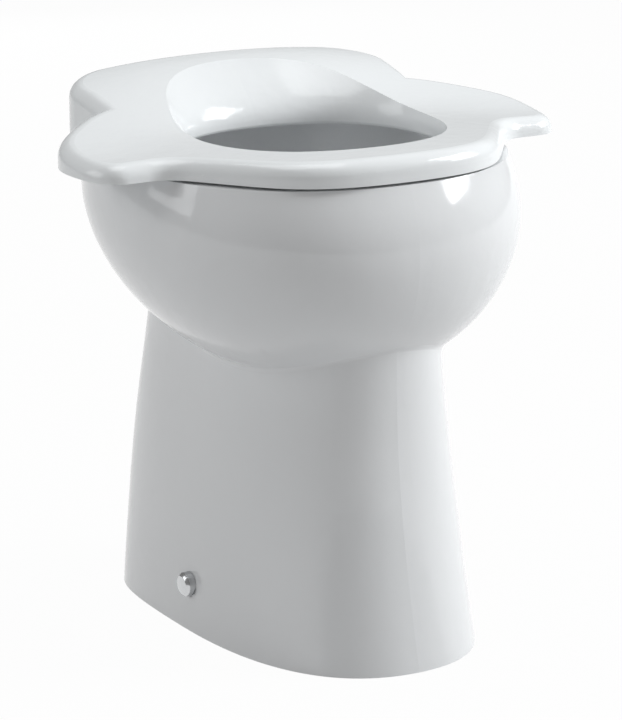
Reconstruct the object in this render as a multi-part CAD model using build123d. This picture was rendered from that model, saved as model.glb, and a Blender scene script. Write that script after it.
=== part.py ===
from build123d import *
import os

# A children's floor-standing toilet: a one-piece china pan with its bowl, trap and hollow
# pedestal, and a hinged seat with a grip wing on each side and a raised, dished back.
# Millimetres. Z is up, the front faces -Y, X runs to the right across the pan.
# The origin is on the floor, midway between the two hidden floor brackets.

# Pan: heights above the floor
rim_height = 350.0
china_wall = 10.0
cut_margin = 1.0

# Pan: the foot, the waist and the part of the pedestal that runs up inside the bowl
foot_length = 320.0
foot_middle = -4.0
foot_half_width = 99.0
foot_front_fullness = 0.66
foot_rear_fullness = 0.90
waist_height = 190.0
waist_half_width = 81.0
waist_front_setback = 33.0
waist_rear_lean = 12.0
foot_widest = 4.0
foot_flare = 0.8
front_flare = 1.6
throat_drop = 88.0

# Pan: the bowl at its rim, its widest belly and its underside
rim_front_setback = 18.0
rim_length = 316.0
rim_half_width = 147.0
rim_fullness = 0.61
belly_bulge = 5.0
belly_drop = 34.0
bowl_depth = 150.0
bowl_nose = 12.0
bowl_lean = 0.215
bowl_roundness = 1.86
crease_fillet = 5.0

# Pan: the well under the bowl, where the water seal stands
well_top_drop = 118.0
well_top_half_width = 74.0
well_top_half_length = 84.0
well_floor_height = 46.0
well_half_width = 38.0
well_half_length = 44.0
well_setback = 36.0
well_wall = 9.0
neck_height = 150.0
neck_half_width = 46.0
neck_half_length = 54.0

# Pan: mouth, rim lip and the bowl's hollow
lip_width = 30.0
lip_depth = 30.0
lip_thickness = 8.0
rim_deck = 10.0

# Pan: rear shelf that carries the hinges, and the spine under it that holds the water ways
shelf_behind_hinge = 20.0
shelf_half_width = 84.0
shelf_thickness = 18.0
shelf_corner_radius = 20.0
spine_foot_rise = 6.0
spine_foot_setback = 41.0
spine_half_width = 46.0
spine_setback = 15.0
spine_corner_radius = 18.0

# Pan: flush inlet, trap and outlet
inlet_bore = 55.0
inlet_drop = 50.0
inlet_wall = 9.0
inlet_stub = 3.0
inlet_length = 62.0
inlet_lead = 10.0
trap_bore = 54.0
trap_wall = 8.0
trap_bend = 36.0
trap_low_run = 32.0
trap_low_height = 82.0
weir_run = 114.0
weir_height = 186.0
outlet_diameter = 102.0
outlet_bore = 86.0
outlet_height = 180.0
outlet_run = 20.0
outlet_length = 39.0
trap_tail = 24.0
back_window_gap = 11.0
back_window_depth = 40.0

# Seat: ring, opening, wings and raised back
seat_gap = 2.0
seat_thickness = 18.0
seat_top_radius = 11.0
seat_blank_half_width = 205.0
blank_overhang = 8.0
blank_rear_overhang = 4.0
blank_sections = 11
seat_rear_inset = 28.0
opening_front_inset = 41.0
opening_length = 177.0
opening_half_width = 93.0
opening_fullness = 0.62
opening_edge_radius = 3.0
opening_edge_length = 60.0
dish_rise = 42.0
dish_front_inset = 20.0
dish_rear_inset = 24.0
dish_half_width = 118.0
dish_widest_offset = 4.0
dish_lip_drop = 4.0
dish_lip_share = 0.03
dish_throat_rise = 10.0
dish_throat_share = 0.30
wing_half_span = 193.0
wing_front_setback = 67.0
front_bend_half_width = 80.0
front_bend_inset = 19.0
wing_droop = 5.5
wing_rise_start = -45.0
wing_tip_reach = 24.0
wing_tip_length = 47.0
wing_tip_fullness = 0.3
wing_tip_bend = 0.36
wing_shoulder_inset = 27.0
wing_shoulder_lead = 22.0
wing_root_reach = 30.0
wing_root_bend = 16.0
wing_root_lead_x = 8.0
wing_root_lead_y = 11.0
wing_root_inset = 69.0
wing_root_setback = 20.0
notch_half_width = 131.0
notch_setback = 74.0
back_half_width = 133.0
back_corner = 40.0
back_rise_start = -4.0
back_crest_inset = 16.0
back_crest_rise = 30.0
back_side_rise = 16.0
crown_shoulder = 0.62
crown_middle = 0.55

# Seat hinges
hinge_setback = 27.0
hinge_rise = 20.0
hinge_half_spacing = 64.0
hinge_pin_diameter = 8.0
pin_clearance = 0.05
hinge_play = 0.4
post_width = 14.0
post_radius = 10.0
lug_thickness = 8.0
lug_radius = 11.0
pin_cap_diameter = 13.0
pin_cap_length = 4.0
pin_cap_depth = 2.0
pin_cap_dome = 2.2
pin_cap_gap = 0.3
pin_chamfer = 0.6
post_flange_diameter = 30.0
post_flange_thickness = 4.0
post_flange_edge = 1.2
gasket_thickness = 1.5
gasket_overhang = 1.0
gasket_play = 0.3
stud_diameter = 8.0
stud_length = 62.0
stud_engagement = 6.0
stud_chamfer = 1.0
shelf_hole_diameter = 15.0
cone_washer_height = 12.0
cone_washer_diameter = 20.0
cone_washer_nose = 4.0
cone_washer_taper = 1.5
cone_washer_edge = 2.0
cone_washer_play = 0.4
cone_washer_bore_play = 0.1
plate_washer_diameter = 18.0
plate_washer_thickness = 1.6
plate_washer_play = 0.2
wing_nut_diameter = 15.0
wing_nut_height = 9.0
wing_nut_span = 28.0
wing_nut_leaf = 3.0
wing_nut_hub_taper = 2.0
wing_nut_shoulder_inset = 4.0
wing_nut_shoulder_drop = 4.0
wing_nut_tip_drop = 9.0
wing_nut_foot_inset = 2.0
wing_nut_foot_drop = 15.0
wing_nut_heel_inset = 7.0
wing_nut_heel_drop = 14.0

# Side fixings that hold the pan to its floor brackets
side_screw_height = 35.0
side_screw_y = 0.0
side_hole_diameter = 10.0
side_boss_diameter = 32.0
side_boss_depth = 16.0
side_face_inset = 3.0
side_boss_cover = 2.0
spotface_diameter = 20.0
spotface_reach = 10.0
sleeve_bore = 6.2
sleeve_flange_diameter = 15.0
sleeve_flange_thickness = 1.5
sleeve_setback = 0.5
side_screw_diameter = 6.0
side_screw_head = 11.0
side_screw_head_height = 3.5
side_screw_head_edge = 1.2
side_screw_reach = 14.0
cross_slot_depth = 1.5
cross_slot_length = 8.0
cross_slot_width = 1.2
side_cap_diameter = 18.0
side_cap_length = 8.0
side_cap_wall = 1.5
side_cap_face = 2.4
side_cap_bevel = 2.0
side_cap_edge = 0.6
bracket_thickness = 3.0
bracket_width = 36.0
bracket_height = 52.0
bracket_foot = 34.0
bracket_hole_diameter = 8.5
bracket_hole_inset = 12.0
bracket_hole_margin = 10.0
bracket_corner_radius = 6.0
bracket_bend_radius = 2.5

# Seat buffers
buffer_width = 12.0
buffer_length = 26.0
buffer_front_inset = 37.0
buffer_rear_inset = 28.0
buffer_front_x = 62.0
buffer_rear_x = 78.0
buffer_recess = 4.0
buffer_clearance = 0.3
buffer_chamfer = 0.8

# Derived places
foot_front = foot_middle - foot_length / 2
foot_rear = foot_middle + foot_length / 2
rim_front = foot_front + rim_front_setback
rim_middle = rim_front + rim_length / 2
pedestal_top_height = rim_height - throat_drop
belly_height = rim_height - belly_drop
bowl_bottom_height = rim_height - bowl_depth
well_top_height = rim_height - well_top_drop
well_y = rim_middle - well_setback
trap_low_y = well_y + trap_low_run
weir_y = well_y + weir_run
outlet_start = weir_y + outlet_run
outlet_end = outlet_start + outlet_length
back_window_half_width = outlet_diameter / 2 + back_window_gap
back_window_height = outlet_height + outlet_diameter / 2 + back_window_gap
seat_bottom = rim_height + seat_gap
seat_top = seat_bottom + seat_thickness
seat_rear = rim_front + rim_length - seat_rear_inset
opening_front = rim_front + opening_front_inset
opening_rear = opening_front + opening_length
dish_front = rim_front + dish_front_inset
dish_rear = seat_rear - dish_rear_inset
dish_height = seat_top + dish_rise
wing_front = rim_middle - wing_front_setback
wing_root_half_width = wing_half_span - wing_root_inset
wing_root_y = wing_front - wing_root_setback
notch_y = seat_rear - notch_setback
wing_shoulder_half_width = wing_half_span - wing_shoulder_inset
wing_shoulder_y = notch_y - wing_shoulder_lead
back_crest_y = seat_rear - back_crest_inset
back_crest_height = seat_top + back_crest_rise
back_side_height = seat_top + back_side_rise
hinge_axis_y = seat_rear + hinge_setback
hinge_axis_height = rim_height + hinge_rise
shelf_rear = hinge_axis_y + shelf_behind_hinge
spine_foot_height = back_window_height + spine_foot_rise
spine_foot_rear = shelf_rear - spine_foot_setback
spine_rear = shelf_rear - spine_setback
inlet_height = rim_height - inlet_drop
inlet_end = shelf_rear + inlet_stub
inlet_start = inlet_end - inlet_length
side_face = foot_half_width - side_face_inset
side_boss_face = side_face - side_boss_depth
buffer_front_y = rim_front + buffer_front_inset
buffer_rear_y = seat_rear - buffer_rear_inset


def oval(height, half_width, front, rear, widest, front_fullness, rear_fullness):
    """A closed plan outline at one height, mirrored about X = 0, from four smooth quarters."""
    def quarter(end_y, side, fullness):
        return Bezier(
            (0, end_y, height),
            (side * half_width * fullness, end_y, height),
            (side * half_width, widest + (end_y - widest) * fullness, height),
            (side * half_width, widest, height),
        )
    edges = [
        quarter(front, 1, front_fullness),
        quarter(rear, 1, rear_fullness),
        quarter(rear, -1, rear_fullness),
        quarter(front, -1, front_fullness),
    ]
    return Face(Wire(edges))


def pedestal_shape(height):
    """Half width, front, rear, widest place and fullness of the pedestal at a height."""
    fall = max(1 - height / waist_height, 0.0)
    half_width = waist_half_width + (foot_half_width - waist_half_width) * fall ** foot_flare
    front = foot_front + waist_front_setback * (1 - fall ** front_flare)
    rear = foot_rear - waist_rear_lean * (height / waist_height) ** 2
    return half_width, front, rear, foot_widest, foot_front_fullness, foot_rear_fullness


def bowl_shape(height):
    """The same values for the bowl: full at its belly, drawn in round its underside."""
    below = max(belly_height - height, 0.0) / (belly_height - bowl_bottom_height + bowl_nose)
    above = max(height - belly_height, 0.0) / (rim_height - belly_height)
    shrink = (1 - below ** bowl_roundness) ** 0.5
    bulge = belly_bulge * (1 - above ** 2)
    half_width = (rim_half_width + bulge) * shrink
    half_length = (rim_length / 2 + bulge) * shrink
    middle = rim_middle - bowl_lean * (rim_height - height)
    return (half_width, middle - half_length, middle + half_length, middle,
            rim_fullness, rim_fullness)


def outline(shape, height, inset=0.0):
    """The plan outline of a shape at a height, drawn in by a wall thickness."""
    half_width, front, rear, widest, front_fullness, rear_fullness = shape(height)
    return oval(height, half_width - inset, front + inset, rear - inset, widest,
                front_fullness, rear_fullness)


def make_pedestal(inset=0.0, bottom=0.0):
    """The pedestal as a loft from the flared foot up to the throat under the bowl."""
    shares = [0.0, 0.12, 0.28, 0.5, 0.73, 1.0]
    return loft([
        outline(pedestal_shape, bottom + (pedestal_top_height - bottom) * s, inset)
        for s in shares
    ])


def make_bowl(inset=0.0, bottom=bowl_bottom_height, top=rim_height):
    """The bowl as a loft, from its narrow floor to a height near the rim."""
    shares = [0.0, 0.08, 0.18, 0.32, 0.48, 0.66, 0.83, 1.0]
    return loft([outline(bowl_shape, bottom + (top - bottom) * s, inset) for s in shares])


def make_well(inset=0.0):
    """The funnel under the bowl that narrows to the pocket where the water seal stands."""
    bottom = well_floor_height + inset
    top_section = (well_top_height, well_top_half_width, well_top_half_length)
    neck_section = (neck_height, neck_half_width, neck_half_length)
    floor_section = (bottom, well_half_width, well_half_length)
    return loft([
        oval(z, half_width - inset, well_y - half_length + inset, well_y + half_length - inset,
             well_y, rim_fullness, rim_fullness)
        for z, half_width, half_length in (floor_section, neck_section, top_section)
    ])


def make_trap(radius):
    """A round passage from the well, up over the weir and down to the outlet."""
    route = FilletPolyline(
        (0, well_y, trap_low_height),
        (0, trap_low_y, trap_low_height),
        (0, weir_y, weir_height),
        (0, outlet_start + trap_tail, outlet_height),
        radius=trap_bend,
    )
    start = Plane(origin=route @ 0, z_dir=route % 0)
    return sweep(start * Circle(radius), path=route)


def along_y(radius, start, end, x, z):
    """A round bar from one Y to another."""
    return Plane(origin=(x, start, z), z_dir=(0, 1, 0)) * extrude(Circle(radius), end - start)


def along_x(radius, start, end, y, z):
    """A round bar from one X to another."""
    return Plane(origin=(start, y, z), z_dir=(1, 0, 0)) * extrude(Circle(radius), end - start)


def upright(radius, start, end, x, y):
    """A round bar from one height to another."""
    return Pos(x, y, start) * extrude(Circle(radius), end - start)


def block(x0, x1, y0, y1, z0, z1):
    """A plain box between two corners, used for cuts."""
    middle = ((x0 + x1) / 2, (y0 + y1) / 2, (z0 + z1) / 2)
    return Pos(*middle) * Box(x1 - x0, y1 - y0, z1 - z0)


def make_shelf():
    """The flat shelf behind the bowl that the seat's hinges stand on."""
    outline = Pos(0, (rim_middle + shelf_rear) / 2, rim_height - shelf_thickness) * RectangleRounded(
        2 * shelf_half_width, shelf_rear - rim_middle, shelf_corner_radius)
    return extrude(outline, shelf_thickness)


def make_spine():
    """The narrow housing under the shelf, round the flush way, down to the pedestal's open back."""
    def section(height, rear):
        length = rear - rim_middle
        return Pos(0, rim_middle + length / 2, height) * RectangleRounded(
            2 * spine_half_width, length, spine_corner_radius)
    return loft([
        section(spine_foot_height, spine_foot_rear),
        section(rim_height - shelf_thickness / 2, spine_rear),
    ])


def lip_outline(inset):
    """The rim's outline, drawn in, at the foot of the lip that hangs inside the rim."""
    half_width, front, rear, widest, front_fullness, rear_fullness = bowl_shape(rim_height)
    return oval(rim_height - lip_depth, half_width - inset, front + inset, rear - inset,
                widest, front_fullness, rear_fullness)


def make_pan():
    bowl = make_bowl()
    body = bowl + make_pedestal()
    crease = [e for e in body.edges() if bowl_bottom_height < e.center().Z < pedestal_top_height
              and e.length > waist_half_width]
    body = fillet(crease, crease_fillet)
    well = make_well()
    spine = make_spine()
    trap = make_trap(trap_bore / 2 + trap_wall)
    hollow = make_pedestal(china_wall, bottom=-cut_margin) - bowl - well - trap
    body = body + make_shelf() + spine - hollow
    body -= block(-back_window_half_width, back_window_half_width, foot_rear - back_window_depth,
                  foot_rear + back_window_depth, -cut_margin, back_window_height)
    body += along_y(inlet_bore / 2 + inlet_wall, inlet_start, inlet_end, 0, inlet_height)
    body += along_y(outlet_diameter / 2, outlet_start, outlet_end, 0, outlet_height)
    body += well + trap
    mouth = extrude(lip_outline(lip_width), lip_depth + cut_margin)
    lip = extrude(lip_outline(lip_width - lip_thickness), lip_depth) - mouth
    cavity = make_bowl(china_wall, top=rim_height - rim_deck) - lip
    body -= cavity + mouth
    body -= make_well(well_wall)
    body -= make_trap(trap_bore / 2)
    body -= along_y(outlet_bore / 2, outlet_start + trap_wall, outlet_end + cut_margin, 0, outlet_height)
    body -= along_y(inlet_bore / 2, inlet_start - inlet_lead, inlet_end + cut_margin, 0, inlet_height)
    for side in (-1, 1):
        body += along_x(side_boss_diameter / 2, side * side_boss_face,
                        side * (side_face - side_boss_cover), side_screw_y, side_screw_height)
        body -= along_x(spotface_diameter / 2, side * side_face, side * (side_face + spotface_reach),
                        side_screw_y, side_screw_height)
        body -= along_x(side_hole_diameter / 2, side * (side_boss_face - cut_margin),
                        side * (side_face + cut_margin), side_screw_y, side_screw_height)
        body -= upright(shelf_hole_diameter / 2, rim_height - shelf_thickness - cut_margin,
                        rim_height + cut_margin, side * hinge_half_spacing, hinge_axis_y)
    return body


def seat_outline():
    """The seat's plan: round front, a grip wing on each side and a squared raised back."""
    front = Spline(
        (0, rim_front), (front_bend_half_width, rim_front + front_bend_inset),
        (wing_root_half_width, wing_root_y),
        tangents=[(1, 0), (0.6, 0.8)])
    root = Bezier(
        (wing_root_half_width, wing_root_y),
        (wing_root_half_width + wing_root_lead_x, wing_root_y + wing_root_lead_y),
        (wing_root_half_width + wing_root_bend, wing_front),
        (wing_root_half_width + wing_root_reach, wing_front))
    edge = Line(root @ 1, (wing_half_span - wing_tip_reach, wing_front))
    tip = Bezier(
        edge @ 1, (wing_half_span - wing_tip_reach * wing_tip_fullness, wing_front),
        (wing_half_span, wing_front + wing_tip_length * wing_tip_bend),
        (wing_half_span, wing_front + wing_tip_length))
    trail = Spline(
        tip @ 1, (wing_shoulder_half_width, wing_shoulder_y), (notch_half_width, notch_y),
        tangents=[(0, 1), (-1, 0.35)])
    side = Line(trail @ 1, (back_half_width, seat_rear - back_corner))
    corner = Bezier(
        side @ 1, (back_half_width, seat_rear - back_corner * 0.4),
        (back_half_width - back_corner * 0.6, seat_rear), (back_half_width - back_corner, seat_rear))
    rear = Line(corner @ 1, (0, seat_rear))
    half = Curve() + [front, root, edge, tip, trail, side, corner, rear]
    return make_face(half + mirror(half, about=Plane.YZ))


def rise(y, start, low, high):
    """A height that is level up to a start and climbs in a gentle S to the crest of the back."""
    share = min(max((y - start) / (back_crest_y - start), 0.0), 1.0)
    return low + (high - low) * share * share * (3 - 2 * share)


def seat_section(y):
    """An upright section of the seat blank, crowned across from wing tip to wing tip."""
    middle = rise(y, back_rise_start, seat_top, back_crest_height)
    side = rise(y, wing_rise_start, seat_top - wing_droop, back_side_height)
    edge = seat_blank_half_width
    shoulder = edge * crown_shoulder
    inner = edge * crown_middle
    crown_right = Bezier((edge, y, side), (shoulder, y, side), (inner, y, middle), (0, y, middle))
    crown_left = Bezier((0, y, middle), (-inner, y, middle), (-shoulder, y, side), (-edge, y, side))
    sides = Polyline((-edge, y, side), (-edge, y, seat_bottom), (edge, y, seat_bottom),
                     (edge, y, side))
    return Face(Wire([crown_right, crown_left] + sides.edges()))


def make_dish():
    """The opening through the ring, widening upwards into the dish of the raised back."""
    def ring(height, share):
        front = opening_front + (dish_front - opening_front) * share
        rear = opening_rear + (dish_rear - opening_rear) * share
        half_width = opening_half_width + (dish_half_width - opening_half_width) * share
        widest = (front + rear) / 2 + dish_widest_offset
        return oval(height, half_width, front, rear, widest, opening_fullness, opening_fullness)
    return loft([
        ring(seat_bottom - cut_margin, 0.0),
        ring(seat_top - dish_lip_drop, dish_lip_share),
        ring(seat_top + dish_throat_rise, dish_throat_share),
        ring(dish_height, 1.0),
    ])


def make_seat_ring():
    blank_front = rim_front - blank_overhang
    blank_step = (seat_rear + blank_rear_overhang - blank_front) / (blank_sections - 1)
    blank = loft([seat_section(blank_front + blank_step * i) for i in range(blank_sections)])
    plan = Pos(0, 0, seat_bottom) * extrude(seat_outline(), dish_height - seat_bottom)
    seat = blank & plan
    upper = [e for e in seat.edges() if e.center().Z > seat_bottom + seat_thickness / 2
             and abs(e.tangent_at(0.5).Z) < 0.9]
    seat = fillet(upper, seat_top_radius)
    seat -= make_dish()
    lower = [e for e in seat.edges() if abs(e.center().Z - seat_bottom) < cut_margin
             and opening_front - cut_margin < e.center().Y < opening_rear + cut_margin
             and abs(e.center().X) < opening_half_width and e.length > opening_edge_length]
    seat = fillet(lower, opening_edge_radius)
    for side in (-1, 1):
        for lug_x in lug_places():
            seat += hinge_lug(side * lug_x)
        seat -= along_x(hinge_pin_diameter / 2 + pin_clearance,
                        side * (lug_places()[0] - lug_thickness),
                        side * (lug_places()[1] + lug_thickness),
                        hinge_axis_y, hinge_axis_height)
        for x, y in ((buffer_front_x, buffer_front_y), (buffer_rear_x, buffer_rear_y)):
            pocket = buffer_slot(2 * buffer_clearance)
            seat -= Pos(side * x, y, seat_bottom - cut_margin) * extrude(pocket, buffer_recess + cut_margin)
    return seat


def lug_places():
    """X of the middle of the inner and the outer lug on each side of a hinge post."""
    offset = post_width / 2 + hinge_play + lug_thickness / 2
    return hinge_half_spacing - offset, hinge_half_spacing + offset


def hinge_lug(x):
    """A lug behind the seat with an eye for the hinge pin, rooted in the raised back."""
    root = hinge_axis_y - seat_rear + lug_radius
    side = (Pos(hinge_axis_y, hinge_axis_height) * Circle(lug_radius)
            + Pos(hinge_axis_y - root / 2, hinge_axis_height) * Rectangle(root, 2 * lug_radius))
    return Plane(origin=(x - lug_thickness / 2, 0, 0), x_dir=(0, 1, 0), z_dir=(1, 0, 0)) * extrude(
        side, lug_thickness)


def buffer_slot(extra=0.0):
    """The plan of a seat buffer, round at both ends."""
    return SlotOverall(buffer_length + extra, buffer_width + extra, rotation=90)


def make_buffer(x, y):
    """A soft buffer pressed into a pocket under the seat, that rests on the pan's rim."""
    gap = buffer_clearance
    body = Pos(x, y, rim_height + gap) * extrude(buffer_slot(), seat_gap + buffer_recess - 2 * gap)
    lower = body.edges().group_by(Axis.Z)[0]
    return chamfer(lower, buffer_chamfer)


def make_hinge_post(side):
    """A metal post: a round flange, a neck and an eye, with a threaded socket below."""
    x = side * hinge_half_spacing
    base = rim_height + gasket_thickness
    flange = upright(post_flange_diameter / 2, base, base + post_flange_thickness, x, hinge_axis_y)
    flange = fillet(flange.edges().group_by(Axis.Z)[-1], post_flange_edge)
    eye = along_x(post_radius, x - post_width / 2, x + post_width / 2,
                  hinge_axis_y, hinge_axis_height)
    neck = block(x - post_width / 2, x + post_width / 2, hinge_axis_y - post_radius,
                 hinge_axis_y + post_radius, base + cut_margin, hinge_axis_height)
    post = flange + eye + neck
    post -= along_x(hinge_pin_diameter / 2 + pin_clearance, x - post_width, x + post_width,
                    hinge_axis_y, hinge_axis_height)
    post -= upright(stud_diameter / 2 + pin_clearance, base - cut_margin, base + stud_engagement,
                    x, hinge_axis_y)
    return post


def make_hinge_pin(side):
    """The pin through both lugs and the post, turned down at its ends for the end caps."""
    x = side * hinge_half_spacing
    reach = post_width / 2 + hinge_play + lug_thickness + pin_cap_depth
    pin = along_x(hinge_pin_diameter / 2, x - reach, x + reach, hinge_axis_y, hinge_axis_height)
    return chamfer(pin.edges(), pin_chamfer)


def make_pin_caps(side):
    """The two domed caps on the ends of one hinge pin."""
    x = side * hinge_half_spacing
    face = post_width / 2 + hinge_play + lug_thickness + pin_cap_gap
    caps = []
    for direction in (-1, 1):
        start = x + direction * face
        cap = along_x(pin_cap_diameter / 2, start, start + direction * pin_cap_length,
                      hinge_axis_y, hinge_axis_height)
        outer = cap.edges().sort_by(Axis.X)[-1 if direction > 0 else 0]
        cap = fillet(outer, pin_cap_dome)
        cap -= along_x(hinge_pin_diameter / 2 + pin_clearance, start - direction,
                       start + direction * (pin_cap_depth - pin_cap_gap + pin_clearance),
                       hinge_axis_y, hinge_axis_height)
        caps.append(cap)
    return Compound(children=caps)


def make_hinge_gasket(side):
    """The soft washer between a hinge post and the glaze of the shelf."""
    x = side * hinge_half_spacing
    top = rim_height + gasket_thickness
    ring = upright(post_flange_diameter / 2 + gasket_overhang, rim_height, top, x, hinge_axis_y)
    return ring - upright(stud_diameter / 2 + gasket_play, rim_height - cut_margin, top + cut_margin,
                          x, hinge_axis_y)


def make_hinge_stud(side):
    """The threaded stud that hangs from a hinge post through the shelf."""
    x = side * hinge_half_spacing
    top = rim_height + gasket_thickness + stud_engagement - pin_clearance
    stud = upright(stud_diameter / 2, top - stud_length, top, x, hinge_axis_y)
    return chamfer(stud.edges().group_by(Axis.Z)[0], stud_chamfer)


def make_cone_washer(side):
    """The tapered washer that centres a stud in its wider hole under the shelf."""
    x = side * hinge_half_spacing
    under = rim_height - shelf_thickness
    tip = under + cone_washer_nose
    neck_radius = shelf_hole_diameter / 2 - cone_washer_play
    cone = Pos(x, hinge_axis_y, (under + tip) / 2) * Cone(
        neck_radius, neck_radius - cone_washer_taper, cone_washer_nose)
    bottom = under - cone_washer_height / 2
    flange = upright(cone_washer_diameter / 2, bottom, under, x, hinge_axis_y)
    flange = chamfer(flange.edges().group_by(Axis.Z)[0], cone_washer_edge)
    bore = upright(stud_diameter / 2 + cone_washer_bore_play, bottom - cut_margin, tip + cut_margin,
                   x, hinge_axis_y)
    return cone + flange - bore


def make_plate_washer(side):
    """The flat metal washer between the tapered washer and the wing nut."""
    x = side * hinge_half_spacing
    top = rim_height - shelf_thickness - cone_washer_height / 2
    bottom = top - plate_washer_thickness
    disc = upright(plate_washer_diameter / 2, bottom, top, x, hinge_axis_y)
    return disc - upright(stud_diameter / 2 + plate_washer_play, bottom - cut_margin,
                          top + cut_margin, x, hinge_axis_y)


def make_wing_nut(side):
    """The nut with two leaves that is tightened by hand under the shelf."""
    x = side * hinge_half_spacing
    top = rim_height - shelf_thickness - cone_washer_height / 2 - plate_washer_thickness
    hub = Pos(x, hinge_axis_y, top - wing_nut_height / 2) * Cone(
        wing_nut_diameter / 2 - wing_nut_hub_taper, wing_nut_diameter / 2, wing_nut_height)
    leaf_tip = wing_nut_span / 2
    leaf_face = make_face(Polyline(
        (0, 0), (leaf_tip - wing_nut_shoulder_inset, -wing_nut_shoulder_drop),
        (leaf_tip, -wing_nut_tip_drop), (leaf_tip - wing_nut_foot_inset, -wing_nut_foot_drop),
        (leaf_tip - wing_nut_heel_inset, -wing_nut_heel_drop), (0, -wing_nut_height), (0, 0)))
    plane = Plane(origin=(x, hinge_axis_y - wing_nut_leaf / 2, top), x_dir=(1, 0, 0), z_dir=(0, -1, 0))
    leaf = plane * extrude(leaf_face, -wing_nut_leaf)
    leaves = leaf + mirror(leaf, about=Plane(origin=(x, 0, 0), z_dir=(1, 0, 0)))
    nut = hub + leaves
    return nut - upright(stud_diameter / 2 + pin_clearance, top - wing_nut_foot_drop, top + cut_margin,
                         x, hinge_axis_y)


def make_floor_bracket(side):
    """The angle inside the pedestal: its foot is screwed to the floor, its upright takes the pan."""
    face = side * (side_boss_face - buffer_clearance)
    inner = face - side * bracket_thickness
    upright_leaf = block(min(face, inner), max(face, inner), side_screw_y - bracket_width / 2,
                         side_screw_y + bracket_width / 2, 0, bracket_height)
    foot_end = face - side * bracket_foot
    foot = block(min(face, foot_end), max(face, foot_end), side_screw_y - bracket_width / 2,
                 side_screw_y + bracket_width / 2, 0, bracket_thickness)
    bracket = upright_leaf + foot
    corners = [e for e in bracket.edges() if abs(e.tangent_at(0.5).X) > 0.9
               and e.center().Z > bracket_height - bracket_thickness]
    bracket = fillet(corners, bracket_corner_radius)
    inside = [e for e in bracket.edges() if abs(e.tangent_at(0.5).Y) > 0.9
              and abs(e.center().X - inner) < 0.1 and abs(e.center().Z - bracket_thickness) < 0.1]
    bracket = fillet(inside, bracket_bend_radius)
    bracket -= along_x(side_screw_diameter / 2 + pin_clearance, face + side, inner - side,
                       side_screw_y, side_screw_height)
    for y in bracket_hole_places():
        bracket -= upright(bracket_hole_diameter / 2, -cut_margin, bracket_thickness + cut_margin,
                           foot_end + side * bracket_hole_inset, y)
    return bracket


def bracket_hole_places():
    """Y of the two floor screw holes in each bracket."""
    spread = bracket_width / 2 - bracket_hole_margin
    return side_screw_y - spread, side_screw_y + spread


def make_screw_sleeve(side):
    """The plastic sleeve that lines the hole in the pan, with a collar outside."""
    face = side * side_face
    collar = along_x(sleeve_flange_diameter / 2, face, face + side * sleeve_flange_thickness,
                     side_screw_y, side_screw_height)
    tube = along_x(side_hole_diameter / 2 - pin_clearance, side * (side_boss_face + sleeve_setback), face,
                   side_screw_y, side_screw_height)
    bore = along_x(sleeve_bore / 2, side * (side_boss_face - cut_margin),
                   face + side * (sleeve_flange_thickness + cut_margin),
                   side_screw_y, side_screw_height)
    return collar + tube - bore


def make_side_screw(side):
    """The screw from outside through the sleeve into the bracket, with a cross slot."""
    seat_x = side * (side_face + sleeve_flange_thickness)
    head = along_x(side_screw_head / 2, seat_x, seat_x + side * side_screw_head_height,
                   side_screw_y, side_screw_height)
    outer = head.edges().sort_by(Axis.X)[-1 if side > 0 else 0]
    head = fillet(outer, side_screw_head_edge)
    shank = along_x(side_screw_diameter / 2, seat_x, side * (side_boss_face - side_screw_reach),
                    side_screw_y, side_screw_height)
    screw = head + shank
    top = seat_x + side * side_screw_head_height
    floor = top - side * cross_slot_depth
    above = top + side * cut_margin
    for width, height in ((cross_slot_length, cross_slot_width), (cross_slot_width, cross_slot_length)):
        screw -= block(min(floor, above), max(floor, above),
                       side_screw_y - width / 2, side_screw_y + width / 2,
                       side_screw_height - height / 2, side_screw_height + height / 2)
    return screw


def make_side_cap(side):
    """The bright round cap that snaps over a side screw: hollow, with a bevelled face."""
    start = side * side_face
    cap = along_x(side_cap_diameter / 2, start, start + side * side_cap_length,
                  side_screw_y, side_screw_height)
    outer = cap.edges().sort_by(Axis.X)[-1 if side > 0 else 0]
    cap = chamfer(outer, side_cap_bevel)
    rim_edge = cap.edges().sort_by(Axis.X)[-1 if side > 0 else 0]
    cap = fillet(rim_edge, side_cap_edge)
    hollow = along_x(side_cap_diameter / 2 - side_cap_wall, start - side * cut_margin,
                     start + side * (side_cap_length - side_cap_face), side_screw_y, side_screw_height)
    return cap - hollow


nodes = {
    "pan": make_pan(),
    "seat_ring": make_seat_ring(),
}
for name, side in (("left", -1), ("right", 1)):
    nodes[f"buffer_front_{name}"] = make_buffer(side * buffer_front_x, buffer_front_y)
    nodes[f"buffer_rear_{name}"] = make_buffer(side * buffer_rear_x, buffer_rear_y)
    nodes[f"hinge_post_{name}"] = make_hinge_post(side)
    nodes[f"hinge_pin_{name}"] = make_hinge_pin(side)
    nodes[f"pin_caps_{name}"] = make_pin_caps(side)
    nodes[f"hinge_gasket_{name}"] = make_hinge_gasket(side)
    nodes[f"hinge_stud_{name}"] = make_hinge_stud(side)
    nodes[f"cone_washer_{name}"] = make_cone_washer(side)
    nodes[f"plate_washer_{name}"] = make_plate_washer(side)
    nodes[f"wing_nut_{name}"] = make_wing_nut(side)
    nodes[f"floor_bracket_{name}"] = make_floor_bracket(side)
    nodes[f"screw_sleeve_{name}"] = make_screw_sleeve(side)
    nodes[f"side_screw_{name}"] = make_side_screw(side)
    nodes[f"side_cap_{name}"] = make_side_cap(side)

os.makedirs("parts", exist_ok=True)
for name, shape in nodes.items():
    export_step(shape, f"parts/{name}.step")
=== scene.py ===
import math

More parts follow.
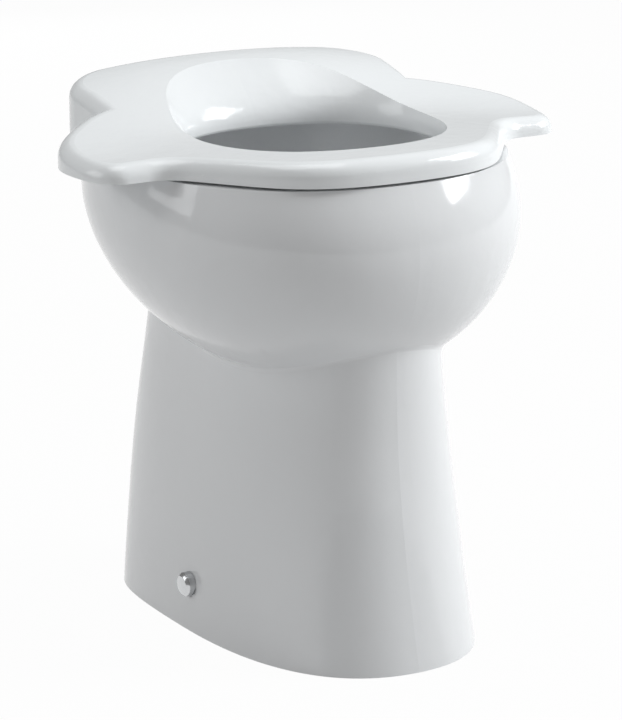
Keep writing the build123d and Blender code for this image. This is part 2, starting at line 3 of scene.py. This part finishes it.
import bpy
import bmesh
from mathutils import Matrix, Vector


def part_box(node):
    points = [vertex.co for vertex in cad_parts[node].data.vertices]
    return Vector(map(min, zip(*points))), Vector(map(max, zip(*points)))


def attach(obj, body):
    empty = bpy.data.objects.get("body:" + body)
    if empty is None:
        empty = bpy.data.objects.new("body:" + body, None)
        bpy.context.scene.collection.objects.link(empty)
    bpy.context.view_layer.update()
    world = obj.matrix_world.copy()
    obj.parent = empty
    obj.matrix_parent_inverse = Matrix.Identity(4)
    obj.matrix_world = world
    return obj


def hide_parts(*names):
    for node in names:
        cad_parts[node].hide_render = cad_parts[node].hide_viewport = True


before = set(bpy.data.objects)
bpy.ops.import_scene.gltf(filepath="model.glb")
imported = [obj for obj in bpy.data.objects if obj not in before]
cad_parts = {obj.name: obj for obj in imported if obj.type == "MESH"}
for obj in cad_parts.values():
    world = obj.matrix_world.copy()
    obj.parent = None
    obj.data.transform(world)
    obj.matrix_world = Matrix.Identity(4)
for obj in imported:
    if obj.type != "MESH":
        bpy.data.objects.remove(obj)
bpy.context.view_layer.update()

scene = bpy.context.scene
scene.view_settings.view_transform = "Standard"

# The pan: one casting of vitreous china under a thick white glaze.
# The glaze pools and thins a little, so its gloss and colour drift over a few centimetres.


patch_detail = 3.0
grain_detail = 2.0


def drift_group():
    """A node group that lets a finish wander: two colours, two roughnesses and a small relief."""
    group = bpy.data.node_groups.new("surface_drift", "ShaderNodeTree")
    face = group.interface
    face.new_socket("Colour one", in_out="INPUT", socket_type="NodeSocketColor")
    face.new_socket("Colour two", in_out="INPUT", socket_type="NodeSocketColor")
    face.new_socket("Roughness one", in_out="INPUT", socket_type="NodeSocketFloat")
    face.new_socket("Roughness two", in_out="INPUT", socket_type="NodeSocketFloat")
    face.new_socket("Patch scale", in_out="INPUT", socket_type="NodeSocketFloat")
    face.new_socket("Grain scale", in_out="INPUT", socket_type="NodeSocketFloat")
    face.new_socket("Colour", in_out="OUTPUT", socket_type="NodeSocketColor")
    face.new_socket("Roughness", in_out="OUTPUT", socket_type="NodeSocketFloat")
    face.new_socket("Relief", in_out="OUTPUT", socket_type="NodeSocketFloat")
    nodes, links = group.nodes, group.links
    enter = nodes.new("NodeGroupInput")
    leave = nodes.new("NodeGroupOutput")
    place = nodes.new("ShaderNodeTexCoord")
    patches = nodes.new("ShaderNodeTexNoise")
    patches.inputs["Detail"].default_value = patch_detail
    grain = nodes.new("ShaderNodeTexNoise")
    grain.inputs["Detail"].default_value = grain_detail
    colour = nodes.new("ShaderNodeMix")
    colour.data_type = "RGBA"
    rough = nodes.new("ShaderNodeMix")
    links.new(place.outputs["Object"], patches.inputs["Vector"])
    links.new(place.outputs["Object"], grain.inputs["Vector"])
    links.new(enter.outputs["Patch scale"], patches.inputs["Scale"])
    links.new(enter.outputs["Grain scale"], grain.inputs["Scale"])
    links.new(patches.outputs["Fac"], colour.inputs["Factor"])
    links.new(enter.outputs["Colour one"], colour.inputs["A"])
    links.new(enter.outputs["Colour two"], colour.inputs["B"])
    links.new(patches.outputs["Fac"], rough.inputs["Factor"])
    links.new(enter.outputs["Roughness one"], rough.inputs["A"])
    links.new(enter.outputs["Roughness two"], rough.inputs["B"])
    links.new(colour.outputs["Result"], leave.inputs["Colour"])
    links.new(rough.outputs["Result"], leave.inputs["Roughness"])
    links.new(grain.outputs["Fac"], leave.inputs["Relief"])
    return group


surface_drift = drift_group()


def finish(name, colours, roughness, patch_scale, grain_scale, relief, metallic=0.0):
    """A material on the drift group: relief in metres, the two scales in patches per metre."""
    material = bpy.data.materials.new(name)
    material.use_nodes = True
    nodes, links = material.node_tree.nodes, material.node_tree.links
    shader = nodes["Principled BSDF"]
    drift = nodes.new("ShaderNodeGroup")
    drift.node_tree = surface_drift
    drift.inputs["Colour one"].default_value = (*colours[0], 1.0)
    drift.inputs["Colour two"].default_value = (*colours[1], 1.0)
    drift.inputs["Roughness one"].default_value = roughness[0]
    drift.inputs["Roughness two"].default_value = roughness[1]
    drift.inputs["Patch scale"].default_value = patch_scale
    drift.inputs["Grain scale"].default_value = grain_scale
    bump = nodes.new("ShaderNodeBump")
    bump.inputs["Distance"].default_value = relief
    links.new(drift.outputs["Colour"], shader.inputs["Base Color"])
    links.new(drift.outputs["Roughness"], shader.inputs["Roughness"])
    links.new(drift.outputs["Relief"], bump.inputs["Height"])
    links.new(bump.outputs["Normal"], shader.inputs["Normal"])
    shader.inputs["Metallic"].default_value = metallic
    return material


def dress(node, material):
    """Gives a construction piece its finish."""
    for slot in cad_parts[node].material_slots:
        slot.material = material


glaze = finish(
    "white_glaze",
    colours=((0.80, 0.81, 0.82), (0.83, 0.84, 0.85)),
    roughness=(0.07, 0.11),
    patch_scale=9.0,
    grain_scale=60.0,
    relief=0.0002,
)
dress("pan", glaze)

# The seat: moulded in a dense white plastic, polished all over but a touch softer than the glaze.
# The mould leaves a very slight unevenness that shows only in long reflections.

seat_plastic = finish(
    "seat_plastic",
    colours=((0.85, 0.87, 0.88), (0.87, 0.89, 0.90)),
    roughness=(0.13, 0.17),
    patch_scale=12.0,
    grain_scale=90.0,
    relief=0.0002,
)
dress("seat_ring", seat_plastic)

# The buffers, gaskets and tapered washers: soft moulded rubber, pale under the seat where it may
# be seen and black under the hinges.

pale_rubber = finish(
    "pale_rubber",
    colours=((0.70, 0.70, 0.68), (0.76, 0.76, 0.74)),
    roughness=(0.55, 0.68),
    patch_scale=60.0,
    grain_scale=900.0,
    relief=0.0001,
)
black_rubber = finish(
    "black_rubber",
    colours=((0.025, 0.025, 0.026), (0.045, 0.045, 0.046)),
    roughness=(0.60, 0.75),
    patch_scale=60.0,
    grain_scale=900.0,
    relief=0.0001,
)
sides = ("left", "right")
for side in sides:
    dress(f"buffer_front_{side}", pale_rubber)
    dress(f"buffer_rear_{side}", pale_rubber)
    dress(f"hinge_gasket_{side}", black_rubber)
    dress(f"cone_washer_{side}", black_rubber)

# The hinges: turned and milled stainless posts, ground pins with white snap caps, and plain
# studs, washers and wing nuts under the shelf.

satin_steel = finish(
    "satin_steel",
    colours=((0.60, 0.61, 0.62), (0.70, 0.71, 0.72)),
    roughness=(0.26, 0.36),
    patch_scale=80.0,
    grain_scale=1500.0,
    relief=0.00003,
    metallic=1.0,
)
bright_steel = finish(
    "bright_steel",
    colours=((0.66, 0.67, 0.68), (0.74, 0.75, 0.76)),
    roughness=(0.18, 0.26),
    patch_scale=120.0,
    grain_scale=1800.0,
    relief=0.00002,
    metallic=1.0,
)
cap_plastic = finish(
    "cap_plastic",
    colours=((0.78, 0.78, 0.76), (0.82, 0.82, 0.80)),
    roughness=(0.22, 0.30),
    patch_scale=90.0,
    grain_scale=700.0,
    relief=0.00003,
)
for side in sides:
    dress(f"hinge_post_{side}", satin_steel)
    dress(f"hinge_pin_{side}", bright_steel)
    dress(f"pin_caps_{side}", cap_plastic)
    dress(f"hinge_stud_{side}", bright_steel)
    dress(f"plate_washer_{side}", bright_steel)
    dress(f"wing_nut_{side}", satin_steel)

# The side fixings: zinc-plated angle brackets hidden in the pedestal, plastic sleeves, screws,
# and the bright plated caps that show low on each side.

zinc_plate = finish(
    "zinc_plate",
    colours=((0.52, 0.55, 0.58), (0.66, 0.68, 0.70)),
    roughness=(0.32, 0.46),
    patch_scale=45.0,
    grain_scale=600.0,
    relief=0.00004,
    metallic=1.0,
)
chrome_plate = finish(
    "chrome_plate",
    colours=((0.55, 0.56, 0.57), (0.61, 0.62, 0.63)),
    roughness=(0.16, 0.24),
    patch_scale=150.0,
    grain_scale=900.0,
    relief=0.00001,
    metallic=1.0,
)
for side in sides:
    dress(f"floor_bracket_{side}", zinc_plate)
    dress(f"screw_sleeve_{side}", cap_plastic)
    dress(f"side_screw_{side}", bright_steel)
    dress(f"side_cap_{side}", chrome_plate)

# The two plated caps over the side screws: turned brass with a thin skirt, a bevel and a face
# that swells a little. Each snaps over its screw's head. The depths are shares of the way from
# the pan's wall to the cap's tip, and the two other shares are of the cap's radius.

skirt_depth = 0.66
face_edge_depth = 0.93
bore_depth = 0.70
face_edge_share = 0.74
bore_share = 0.83
bevel_rounding = 0.0006
bevel_steps = 4
turning_steps = 72
same_point = 0.000001
same_ring = 0.00001
sharp_edge = math.radians(35)


def turned_cap(side):
    """One cap, spun from its section and rounded at both ends of the bevel."""
    low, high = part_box(f"side_cap_{side}")
    radius = (high[1] - low[1]) / 2
    middle = Vector((0.0, (low[1] + high[1]) / 2, (low[2] + high[2]) / 2))
    wall, tip = (high[0], low[0]) if side == "left" else (low[0], high[0])
    section = [
        (0.0, bore_depth),
        (bore_share, bore_depth),
        (bore_share, 0.0),
        (1.0, 0.0),
        (1.0, skirt_depth),
        (face_edge_share, face_edge_depth),
        (0.0, 1.0),
    ]
    turned = bmesh.new()
    line = [
        turned.verts.new((wall + (tip - wall) * depth, middle.y, middle.z + radius * reach))
        for reach, depth in section
    ]
    for start, end in zip(line, line[1:]):
        turned.edges.new((start, end))
    bmesh.ops.spin(
        turned,
        geom=turned.verts[:] + turned.edges[:],
        cent=middle,
        axis=(1.0, 0.0, 0.0),
        angle=math.tau,
        steps=turning_steps,
        use_merge=True,
    )
    bmesh.ops.remove_doubles(turned, verts=turned.verts[:], dist=same_point)
    ring_places = [wall + (tip - wall) * depth for depth in (skirt_depth, face_edge_depth)]
    rings = [
        edge
        for edge in turned.edges
        if any(
            all(abs(end.co.x - place) < same_ring for end in edge.verts) for place in ring_places
        )
    ]
    bmesh.ops.bevel(
        turned,
        geom=rings,
        offset=bevel_rounding,
        offset_type="OFFSET",
        segments=bevel_steps,
        profile=0.5,
        affect="EDGES",
        material=-1,
    )
    bmesh.ops.recalc_face_normals(turned, faces=turned.faces[:])
    for face in turned.faces:
        face.smooth = True
    mesh = bpy.data.meshes.new(f"plated_cap_{side}")
    turned.to_mesh(mesh)
    turned.free()
    mesh.set_sharp_from_angle(angle=sharp_edge)
    mesh.materials.append(chrome_plate)
    cap = bpy.data.objects.new(f"plated_cap_{side}", mesh)
    scene.collection.objects.link(cap)
    return cap


for side in sides:
    plated_cap = turned_cap(side)
    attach(plated_cap, "pan_assembly")
    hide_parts(f"side_cap_{side}")

# The studio floor: a matt sheet that runs back out of sight. Seen by the camera or in a
# reflection it is nearly all white light, and the rest keeps the shadow under the foot.

floor_half = 8.0
floor_squares = 8
floor_grey = (0.60, 0.60, 0.60, 1.0)
floor_roughness = 0.9
pure_white = (1.0, 1.0, 1.0, 1.0)
white_share = 0.97
floor_mesh = bmesh.new()
bmesh.ops.create_grid(
    floor_mesh, x_segments=floor_squares, y_segments=floor_squares, size=floor_half
)
floor_data = bpy.data.meshes.new("studio_floor")
floor_mesh.to_mesh(floor_data)
floor_mesh.free()
floor = bpy.data.objects.new("studio_floor", floor_data)
scene.collection.objects.link(floor)
floor_paint = bpy.data.materials.new("floor_paint")
floor_paint.use_nodes = True
nodes, links = floor_paint.node_tree.nodes, floor_paint.node_tree.links
matt = nodes["Principled BSDF"]
matt.inputs["Base Color"].default_value = floor_grey
matt.inputs["Roughness"].default_value = floor_roughness
white = nodes.new("ShaderNodeEmission")
white.inputs["Color"].default_value = pure_white
white.inputs["Strength"].default_value = 1.0
path = nodes.new("ShaderNodeLightPath")
seen = nodes.new("ShaderNodeMath")
seen.operation = "MAXIMUM"
links.new(path.outputs["Is Camera Ray"], seen.inputs[0])
links.new(path.outputs["Is Glossy Ray"], seen.inputs[1])
share = nodes.new("ShaderNodeMath")
share.operation = "MULTIPLY"
share.inputs[1].default_value = white_share
blend = nodes.new("ShaderNodeMixShader")
links.new(seen.outputs[0], share.inputs[0])
links.new(share.outputs[0], blend.inputs[0])
links.new(matt.outputs[0], blend.inputs[1])
links.new(white.outputs[0], blend.inputs[2])
links.new(blend.outputs[0], nodes["Material Output"].inputs["Surface"])
floor_data.materials.append(floor_paint)

# The room: white all round where the camera looks past the floor, and a soft, slightly warm
# fill on the object itself.

fill_colour = (1.0, 0.985, 0.975, 1.0)
fill_strength = 0.265
room = bpy.data.worlds.new("studio_room")
scene.world = room
room.use_nodes = True
nodes, links = room.node_tree.nodes, room.node_tree.links
fill = nodes["Background"]
fill.inputs["Color"].default_value = fill_colour
fill.inputs["Strength"].default_value = fill_strength
bright = nodes.new("ShaderNodeBackground")
bright.inputs["Color"].default_value = pure_white
bright.inputs["Strength"].default_value = 1.0
path = nodes.new("ShaderNodeLightPath")
blend = nodes.new("ShaderNodeMixShader")
links.new(path.outputs["Is Camera Ray"], blend.inputs[0])
links.new(fill.outputs[0], blend.inputs[1])
links.new(bright.outputs[0], blend.inputs[2])
links.new(blend.outputs[0], nodes["World Output"].inputs["Surface"])


# The lamps: four square softboxes. The one on the right gives the form, the others only keep
# the top, the left and the back from going dull. The one behind isn't mirrored in the china.

lamp_tint = (0.97, 0.99, 1.0)


def softbox(name, place, target_height, width, power):
    """A flat square lamp that faces a point above the middle of the foot."""
    lamp = bpy.data.lights.new(name, "AREA")
    lamp.shape = "RECTANGLE"
    lamp.size = width
    lamp.size_y = width
    lamp.energy = power
    lamp.color = lamp_tint
    holder = bpy.data.objects.new(name, lamp)
    scene.collection.objects.link(holder)
    holder.location = place
    aim = Vector((0.0, 0.0, target_height)) - Vector(place)
    holder.rotation_euler = aim.to_track_quat("-Z", "Y").to_euler()
    return holder


softbox("lamp_right", place=(2.26, -1.04, 1.75), target_height=0.25, width=1.2, power=68)
softbox("lamp_above", place=(-0.15, 0.05, 2.6), target_height=0.3, width=1.6, power=19)
softbox("lamp_left", place=(-2.4, 0.9, 1.3), target_height=0.3, width=1.4, power=14)
lamp_behind = softbox(
    "lamp_behind", place=(0.9, 2.5, 0.75), target_height=0.2, width=1.2, power=14
)
lamp_behind.visible_glossy = False

# The camera stands where the photograph was taken from: in front, to the left and above the
# seat, with a long lens.

eye = Vector((-1.2181, -2.0927, 0.8426))
look = Vector((0.4878, 0.8335, -0.2597))
long_lens = 170.6
film_width = 36.0
sight_limit = 50.0
lens = bpy.data.cameras.new("camera")
lens.lens = long_lens
lens.sensor_width = film_width
lens.clip_end = sight_limit
camera = bpy.data.objects.new("camera", lens)
scene.collection.objects.link(camera)
camera.location = eye
camera.rotation_euler = look.to_track_quat("-Z", "Y").to_euler()
scene.camera = camera
